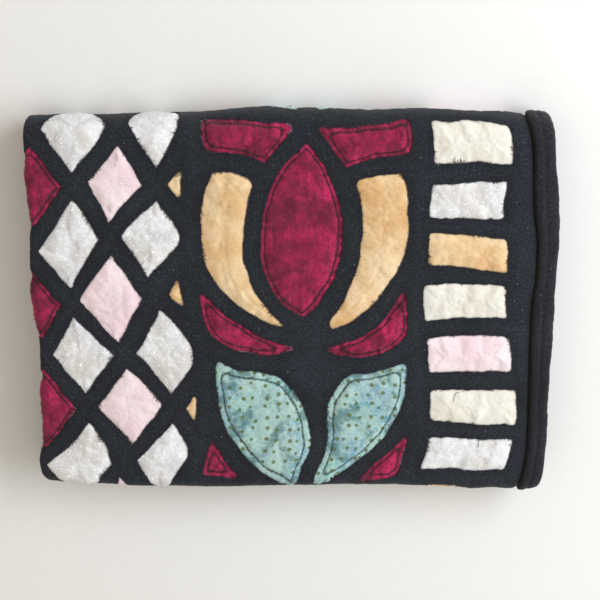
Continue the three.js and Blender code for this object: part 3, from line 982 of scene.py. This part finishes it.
def weave_group():
    """Plain weave: threads crossing over and under, with uneven thickness."""
    w, entry, leave = group("Plain weave", {"Place": (0, 0, 0), "Thread": 0.5}, ("Height", "Shade"))
    place = entry["Place"]
    drift = w.noise(place, 0.6, output="Color")
    wander = w.axes(w.vector("MULTIPLY_ADD", drift, (0.5, 0.5, 0.0), place))
    across, along = (w.math("DIVIDE", wander[axis], entry["Thread"]) for axis in ("X", "Y"))
    warp, weft = (w.math("ABSOLUTE", w.math("SINE", w.times(each, math.pi))) for each in (across, along))
    cell = w.math("ADD", w.math("FLOOR", across), w.math("FLOOR", along))
    over = w.math("ABSOLUTE", w.math("MODULO", cell, 2.0))
    height = w.math("ADD", w.times(warp, over), w.times(weft, w.math("SUBTRACT", 1.0, over)))
    slub = w.noise(w.scaled(place, (3.0, 0.6, 1.0)), 1.0)
    height = w.line(slub, 0.5, height)
    w.plug(leave["Height"], height)
    w.plug(leave["Shade"], w.span(height, 0.0, 1.4, 0.8, 1.12))
    return w.tree


def mottle_group():
    """Uneven dye: cloudy at one size with finer veins through it."""
    inputs = {"Place": (0, 0, 0), "Size": 30.0, "Shift": 0.0}
    w, entry, leave = group("Uneven dye", inputs, ("Cloud", "Veins"))
    sized = w.scaled(entry["Place"], w.math("DIVIDE", 1.0, entry["Size"]))
    place = w.lifted(sized, w.times(entry["Shift"], 40.0))
    off_vein = w.apart(w.noise(place, 4.5, 5.0, 0.7), 0.5)
    w.plug(leave["Cloud"], w.span(w.noise(place, 1.0, 4.0, 0.62), 0.34, 0.66))
    w.plug(leave["Veins"], w.span(off_vein, 0.0, 0.09, 1.0, 0.0))
    return w.tree


def nap_group():
    """Worn black cloth: a fine speckle, short streaks along the threads, and flecks of pale lint."""
    w, entry, leave = group("Nap", {"Place": (0, 0, 0)}, ("Speckle", "Streaks", "Flecks"))
    place = entry["Place"]
    across, along = (w.noise(w.scaled(place, way), 1.0) for way in ((0.16, 1.5, 1.0), (1.5, 0.16, 1.0)))
    distance, chosen, size, strength = w.scattered(w.scaled(place, (1.0, 1.0, 0.0)), 0.16)
    few = w.math("GREATER_THAN", chosen, 0.9)
    spot = w.math("LESS_THAN", distance, w.line(size, 0.045, 0.03))
    w.plug(leave["Speckle"], w.span(w.noise(place, 0.6, 4.0, 0.75), 0.3, 0.7))
    w.plug(leave["Streaks"], w.span(w.math("MAXIMUM", across, along), 0.45, 0.72))
    w.plug(leave["Flecks"], w.times(few, spot, strength))
    return w.tree


WEAVE, MOTTLE, NAP = weave_group(), mottle_group(), nap_group()


class Fabric(Wiring):
    """One cotton: its place on the flat hanging in millimetres, and its shader."""

    def __init__(self, name, roughness, sheen):
        self.material = bpy.data.materials.new(name)
        self.shader = inputs_of(self.material, "BSDF_PRINCIPLED")
        super().__init__(self.material.node_tree)
        for key, value in (("Roughness", roughness), ("Sheen Weight", sheen), ("Sheen Roughness", 0.5),
                           ("Sheen Tint", (1, 1, 1, 1)), ("Specular IOR Level", 0.25)):
            self.shader[key].default_value = value
        flat = self.node("UVMap", uv_map="UVMap").outputs["UV"]
        self.place = self.scaled(flat, (1 / UV_SCALE, 1 / UV_SCALE, 0.0))

    def field(self, name):
        return self.node("Attribute", attribute_name=name).outputs["Fac"]

    def clouds(self, size, shift=0.0):
        return self.use(MOTTLE, Place=self.place, Size=size, Shift=shift)["Cloud"]

    def finished(self, colour):
        """The material, with its colour plugged."""
        self.plug(self.shader["Base Color"], colour)
        return self.material

    def bump(self, height, strength, depth):
        inputs = {"Height": height, "Strength": strength, "Distance": depth * MM}
        self.plug(self.shader["Normal"], self.node("Bump", inputs).outputs["Normal"])


def black_cloth(name, deep, faded, thread):
    """Black cotton, worn paler in clouds, with its nap and lint."""
    f = Fabric(name, roughness=0.93, sheen=0.1)
    weave = f.use(WEAVE, Place=f.place, Thread=thread)
    nap = f.use(NAP, Place=f.place)
    base = f.mix(f.clouds(55.0), deep, faded)
    base = f.mix(f.times(nap["Streaks"], 0.35), base, [2.1 * each for each in faded])
    # Darker within 9 mm of an edge: on the overlay near the patches, and on the binding near its seam,
    # where it is painted shade by the ditch
    strip = f.span(f.field("depth"), 1.0, 9.0, 0.74, 1.0)
    shade = f.times(f.line(nap["Speckle"], 1.3, 0.35), strip, weave["Shade"])
    f.bump(f.line(nap["Speckle"], 1.2, weave["Height"]), 0.45, 0.25)
    base = f.mix(1.0, base, shade, "MULTIPLY")
    return f, f.mix(f.times(nap["Flecks"], 0.6), base, (0.3, 0.31, 0.34))


def black_cotton():
    """The black of the face, with painted shade where it dips down to the binding's seam."""
    f, base = black_cloth("black_cotton", (0.0107, 0.013, 0.0197), (0.0182, 0.0218, 0.0307), 0.55)
    # Painted shade, darkest at the seam
    dip = f.span(f.axes(f.place)["X"], CLOTH_RIGHT - 5.5, CLOTH_RIGHT - 0.5, 0.0, 0.75)
    return f.finished(f.mix(dip, base, (0.003, 0.0033, 0.0045)))


def binding_cotton():
    """The binding's black, a little warmer, with painted shade down in the ditch of its seam."""
    f, base = black_cloth("binding_cotton", (0.0098, 0.0101, 0.0145), (0.0168, 0.0172, 0.024), 0.5)
    # Painted shade in the ditch of the seam
    painted_ditch_shade = f.span(f.field("depth"), 0.2, 1.3, 1.0, 0.0)
    return f.finished(f.mix(painted_ditch_shade, base, (0.004, 0.004, 0.005)))


def dyed_cotton(name, size, low, high, veins, vein_share, roughness=0.88, thread=0.45):
    """Patch cotton with uneven dye between two colours, and finer veins of a third."""
    f = Fabric(name, roughness=roughness, sheen=0.2)
    weave = f.use(WEAVE, Place=f.place, Thread=thread)
    dye = f.use(MOTTLE, Place=f.place, Size=size, Shift=f.field("tone"))
    base = f.mix(dye["Cloud"], low, high)
    base = f.mix(f.times(dye["Veins"], vein_share), base, veins)
    grain = f.span(f.noise(f.place, 1.1), 0.25, 0.75, 0.93, 1.06)
    f.bump(weave["Height"], 0.3, 0.2)
    return f, f.mix(1.0, base, f.times(weave["Shade"], grain), "MULTIPLY")


def edge_shade(f, colour):
    """Darker just inside the overlay's raw edge, where the patch dips under it."""
    return f.mix(f.span(f.field("depth"), -1.5, 0.1, 0.0, 0.4), colour, (0.03, 0.02, 0.025))


def stitch_mark(f, colour, name, shade):
    """A darker line along the topstitching, uneven along its way."""
    off = f.apart(f.field("depth"), -STITCH_INSETS[name])
    uneven = f.span(f.noise(f.place, 0.45), 0.3, 0.7, 0.55, 0.95)
    return f.mix(f.times(f.span(off, 0.25, 1.3, 1.0, 0.0), uneven), colour, shade)


def burgundy_cotton():
    """Burgundy with darker clouds and streaks, and pleats with painted shade in their valleys and a
    painted highlight on their ridges.
    """
    f, base = dyed_cotton("burgundy_cotton", 22.0, (0.2, 0.008, 0.04), (0.5, 0.017, 0.108),
                          (0.1, 0.005, 0.024), 0.42, roughness=0.85)
    tone, pleat = f.field("tone"), f.field("pleats")
    shadows = f.clouds(38.0, f.math("ADD", tone, 0.37))
    base = f.mix(f.span(shadows, 0.62, 1.0, 0.0, 0.5), base, (0.055, 0.007, 0.018))
    streaks = f.noise(f.lifted(f.scaled(f.place, (0.27, 0.05, 1.0)), f.times(tone, 9.0)), 1.0, 4.0, 0.6)
    base = f.mix(f.span(streaks, 0.46, 0.72, 0.0, 0.62), base, (0.075, 0.006, 0.024))
    # Painted shade in the pleats' valleys, and a painted highlight on their ridges
    base = f.mix(f.span(pleat, -1.0, -0.05, 0.6, 0.0), base, (0.06, 0.005, 0.019))
    base = f.mix(f.span(pleat, 0.05, 1.0, 0.0, 0.45), base, (0.58, 0.028, 0.135))
    return f.finished(edge_shade(f, stitch_mark(f, base, "burgundy", (0.022, 0.003, 0.009))))


def peach_cotton():
    f, base = dyed_cotton("peach_cotton", 27.0, (0.66, 0.385, 0.165), (0.83, 0.64, 0.41),
                          (0.55, 0.31, 0.13), 0.22)
    return f.finished(edge_shade(f, f.mix(f.times(f.field("tone"), 0.4), base, (0.82, 0.66, 0.42))))


def plain_cotton(*values):
    """Cotton with faint clouds alone."""
    f, base = dyed_cotton(*values, 0.3, thread=0.42)
    return f.finished(edge_shade(f, base))


def glitter_cotton():
    """White with warm painted shade in clouds, and flakes: some painted white as glints that also glow,
    the rest painted greyer.
    """
    f, base = dyed_cotton("glitter_cotton", 17.0, (0.67, 0.675, 0.705), (0.83, 0.84, 0.875),
                          (0.58, 0.57, 0.59), 0.25, roughness=0.6)
    # Warm painted shade in clouds
    base = f.mix(f.span(f.clouds(31.0, 5.7), 0.5, 1.0, 0.0, 0.4), base, (0.6, 0.56, 0.5))
    distance, chosen, facing, _ = f.scattered(f.place, 1.0)
    flake = f.times(f.math("GREATER_THAN", chosen, 0.92), f.math("LESS_THAN", distance, 0.33))
    # Painted glints: the flakes taken to face the light are painted white
    painted_glints = f.times(flake, f.math("GREATER_THAN", facing, 0.55))
    # The other flakes are painted greyer, as painted shade where they catch no light
    base = f.mix(f.times(f.math("SUBTRACT", flake, painted_glints), 0.3), base, (0.4, 0.4, 0.45))
    f.plug(f.shader["Roughness"], f.span(flake, 0.0, 1.0, 0.7, 0.25))
    # The painted glints also glow, though they are no lamp
    f.shader["Emission Color"].default_value = (1, 1, 1, 1)
    f.plug(f.shader["Emission Strength"], f.times(painted_glints, 0.45))
    return f.finished(edge_shade(f, f.mix(painted_glints, base, (1.0, 1.0, 1.0))))


def batik_cotton():
    """Blue-green with paler and deeper clouds, and printed dots of two or three millimetres."""
    f, base = dyed_cotton("batik_cotton", 24.0, (0.235, 0.47, 0.45), (0.12, 0.3, 0.44),
                          (0.66, 0.78, 0.74), 0.4, roughness=0.86)
    base = f.mix(f.times(f.clouds(34.0, 3.3), 0.75), base, (0.46, 0.625, 0.575))
    base = f.mix(f.span(f.clouds(19.0, 7.1), 0.55, 1.0, 0.0, 0.75), base, (0.06, 0.17, 0.19))
    distance, chosen, *_ = f.scattered(f.place, 1 / DOT_PITCH, 0.5)
    off_dot = f.math("SUBTRACT", distance, f.line(chosen, 0.06, 0.13))
    base = f.mix(f.span(off_dot, -0.02, 0.02, 0.85, 0.0), base, (0.11, 0.15, 0.035))
    return f.finished(edge_shade(f, stitch_mark(f, base, "batik", (0.02, 0.045, 0.04))))


def thread(name, dark, light):
    f = Fabric(name, roughness=0.85, sheen=0.1)
    return f.finished(f.mix(f.noise(f.scaled(f.place, (3.0, 3.0, 1.0)), 1.0), dark, light))


def floor_paper():
    material = bpy.data.materials.new("floor")
    shader = inputs_of(material, "BSDF_PRINCIPLED")
    w = Wiring(material.node_tree)
    grain = w.noise(w.node("TexCoord").outputs["Object"], 180.0, 3.0)
    w.plug(shader["Base Color"], w.mix(grain, (0.805, 0.806, 0.808), (0.845, 0.846, 0.848)))
    shader["Roughness"].default_value = 0.9
    return material


MATERIALS = {
    "black": black_cotton(),
    "binding": binding_cotton(),
    "burgundy": burgundy_cotton(),
    "peach": peach_cotton(),
    "pink": plain_cotton("pink_cotton", 30.0, (0.82, 0.635, 0.71), (0.87, 0.76, 0.815),
                         (0.83, 0.67, 0.67)),
    "cream": plain_cotton("cream_cotton", 36.0, (0.74, 0.72, 0.65), (0.8, 0.79, 0.74),
                          (0.72, 0.67, 0.57)),
    "glitter": glitter_cotton(),
    "batik": batik_cotton(),
    "thread": thread("black_thread", (0.008, 0.008, 0.011), (0.028, 0.028, 0.034)),
    "lint": thread("pale_lint", (0.22, 0.22, 0.24), (0.48, 0.48, 0.5)),
}


def dress(piece, material):
    piece.data.materials.append(MATERIALS[material])
    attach(piece, "root")
    return piece


# Camera, floor and light

CAMERA_AIM = (0.0052, 0.0036, 0.03)
CAMERA_DISTANCE = 1.3
CAMERA_TILT = math.radians(15.63)
CAMERA_LENS = 104.2
WINDOW_PLACE = (1.25, 0.41, 0.95)
WINDOW_SIZE = (0.7, 1.9)
WINDOW_POWER = 29.6
WINDOW_COLOUR = (0.9, 0.945, 1.0)
ROOM_COLOUR = (1.0, 0.93, 0.8, 1)
ROOM_STRENGTH = 0.6


def stand(name, data, place, turn):
    """A camera or light at its place in the scene."""
    made = bpy.data.objects.new(name, data)
    made.location, made.rotation_euler = place, turn
    bpy.context.scene.collection.objects.link(made)
    return made


def camera():
    data = bpy.data.cameras.new("camera")
    data.lens = CAMERA_LENS
    x, y, z = CAMERA_AIM
    back, up = (CAMERA_DISTANCE * part(CAMERA_TILT) for part in (math.sin, math.cos))
    bpy.context.scene.camera = stand("camera", data, (x, y + back, z + up), (-CAMERA_TILT, 0, 0))


def floor():
    bpy.ops.object.select_all(action="DESELECT")
    bpy.ops.mesh.primitive_plane_add(size=8, location=(0, 0, 0))
    made = bpy.context.active_object
    made.name = "floor"
    bpy.ops.object.transform_apply(location=True, rotation=True, scale=True)
    made.data.materials.append(floor_paper())
    made.select_set(False)
    return made


def lighting():
    """A tall soft window at the right, facing the origin, and a warm room."""
    data = bpy.data.lights.new("window_light", "AREA")
    data.shape = "RECTANGLE"
    data.size, data.size_y = WINDOW_SIZE
    data.energy, data.color = WINDOW_POWER, WINDOW_COLOUR
    x, y, z = WINDOW_PLACE
    stand("window_light", data, WINDOW_PLACE, (0, math.atan2(math.hypot(x, y), z), math.atan2(y, x)))
    world = bpy.data.worlds.new("room")
    back = inputs_of(world, "BACKGROUND")
    back["Color"].default_value, back["Strength"].default_value = ROOM_COLOUR, ROOM_STRENGTH
    bpy.context.scene.world = world
    bpy.context.scene.view_settings.view_transform = "Standard"


# Making

camera()
ground = floor()
lighting()

cloth = dress(quilt_cloth(), "black")
on_cloth = []
top_sheets, top_surface = face_sheets("top", *top_grid(), FINE)
parts = [top_sheets]
for label, (us, vs) in under_grids().items():
    parts.append(face_sheets(label, us, vs, COARSE)[0])
for sheets in parts:
    for key, piece in sheets.items():
        material = "black" if key == "overlay" else key
        on_cloth.append(dress(piece, material))
for piece in (stitching(top_surface), fraying(top_surface), loose_threads()):
    on_cloth.append(dress(piece, "thread"))
for piece in (pale_ends(top_surface), lint()):
    on_cloth.append(dress(piece, "lint"))
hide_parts("quilt_body")
for piece in on_cloth:
    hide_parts("quilt_body")
for node, piece in bindings().items():
    on_cloth.append(dress(piece, "binding"))
    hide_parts(node)
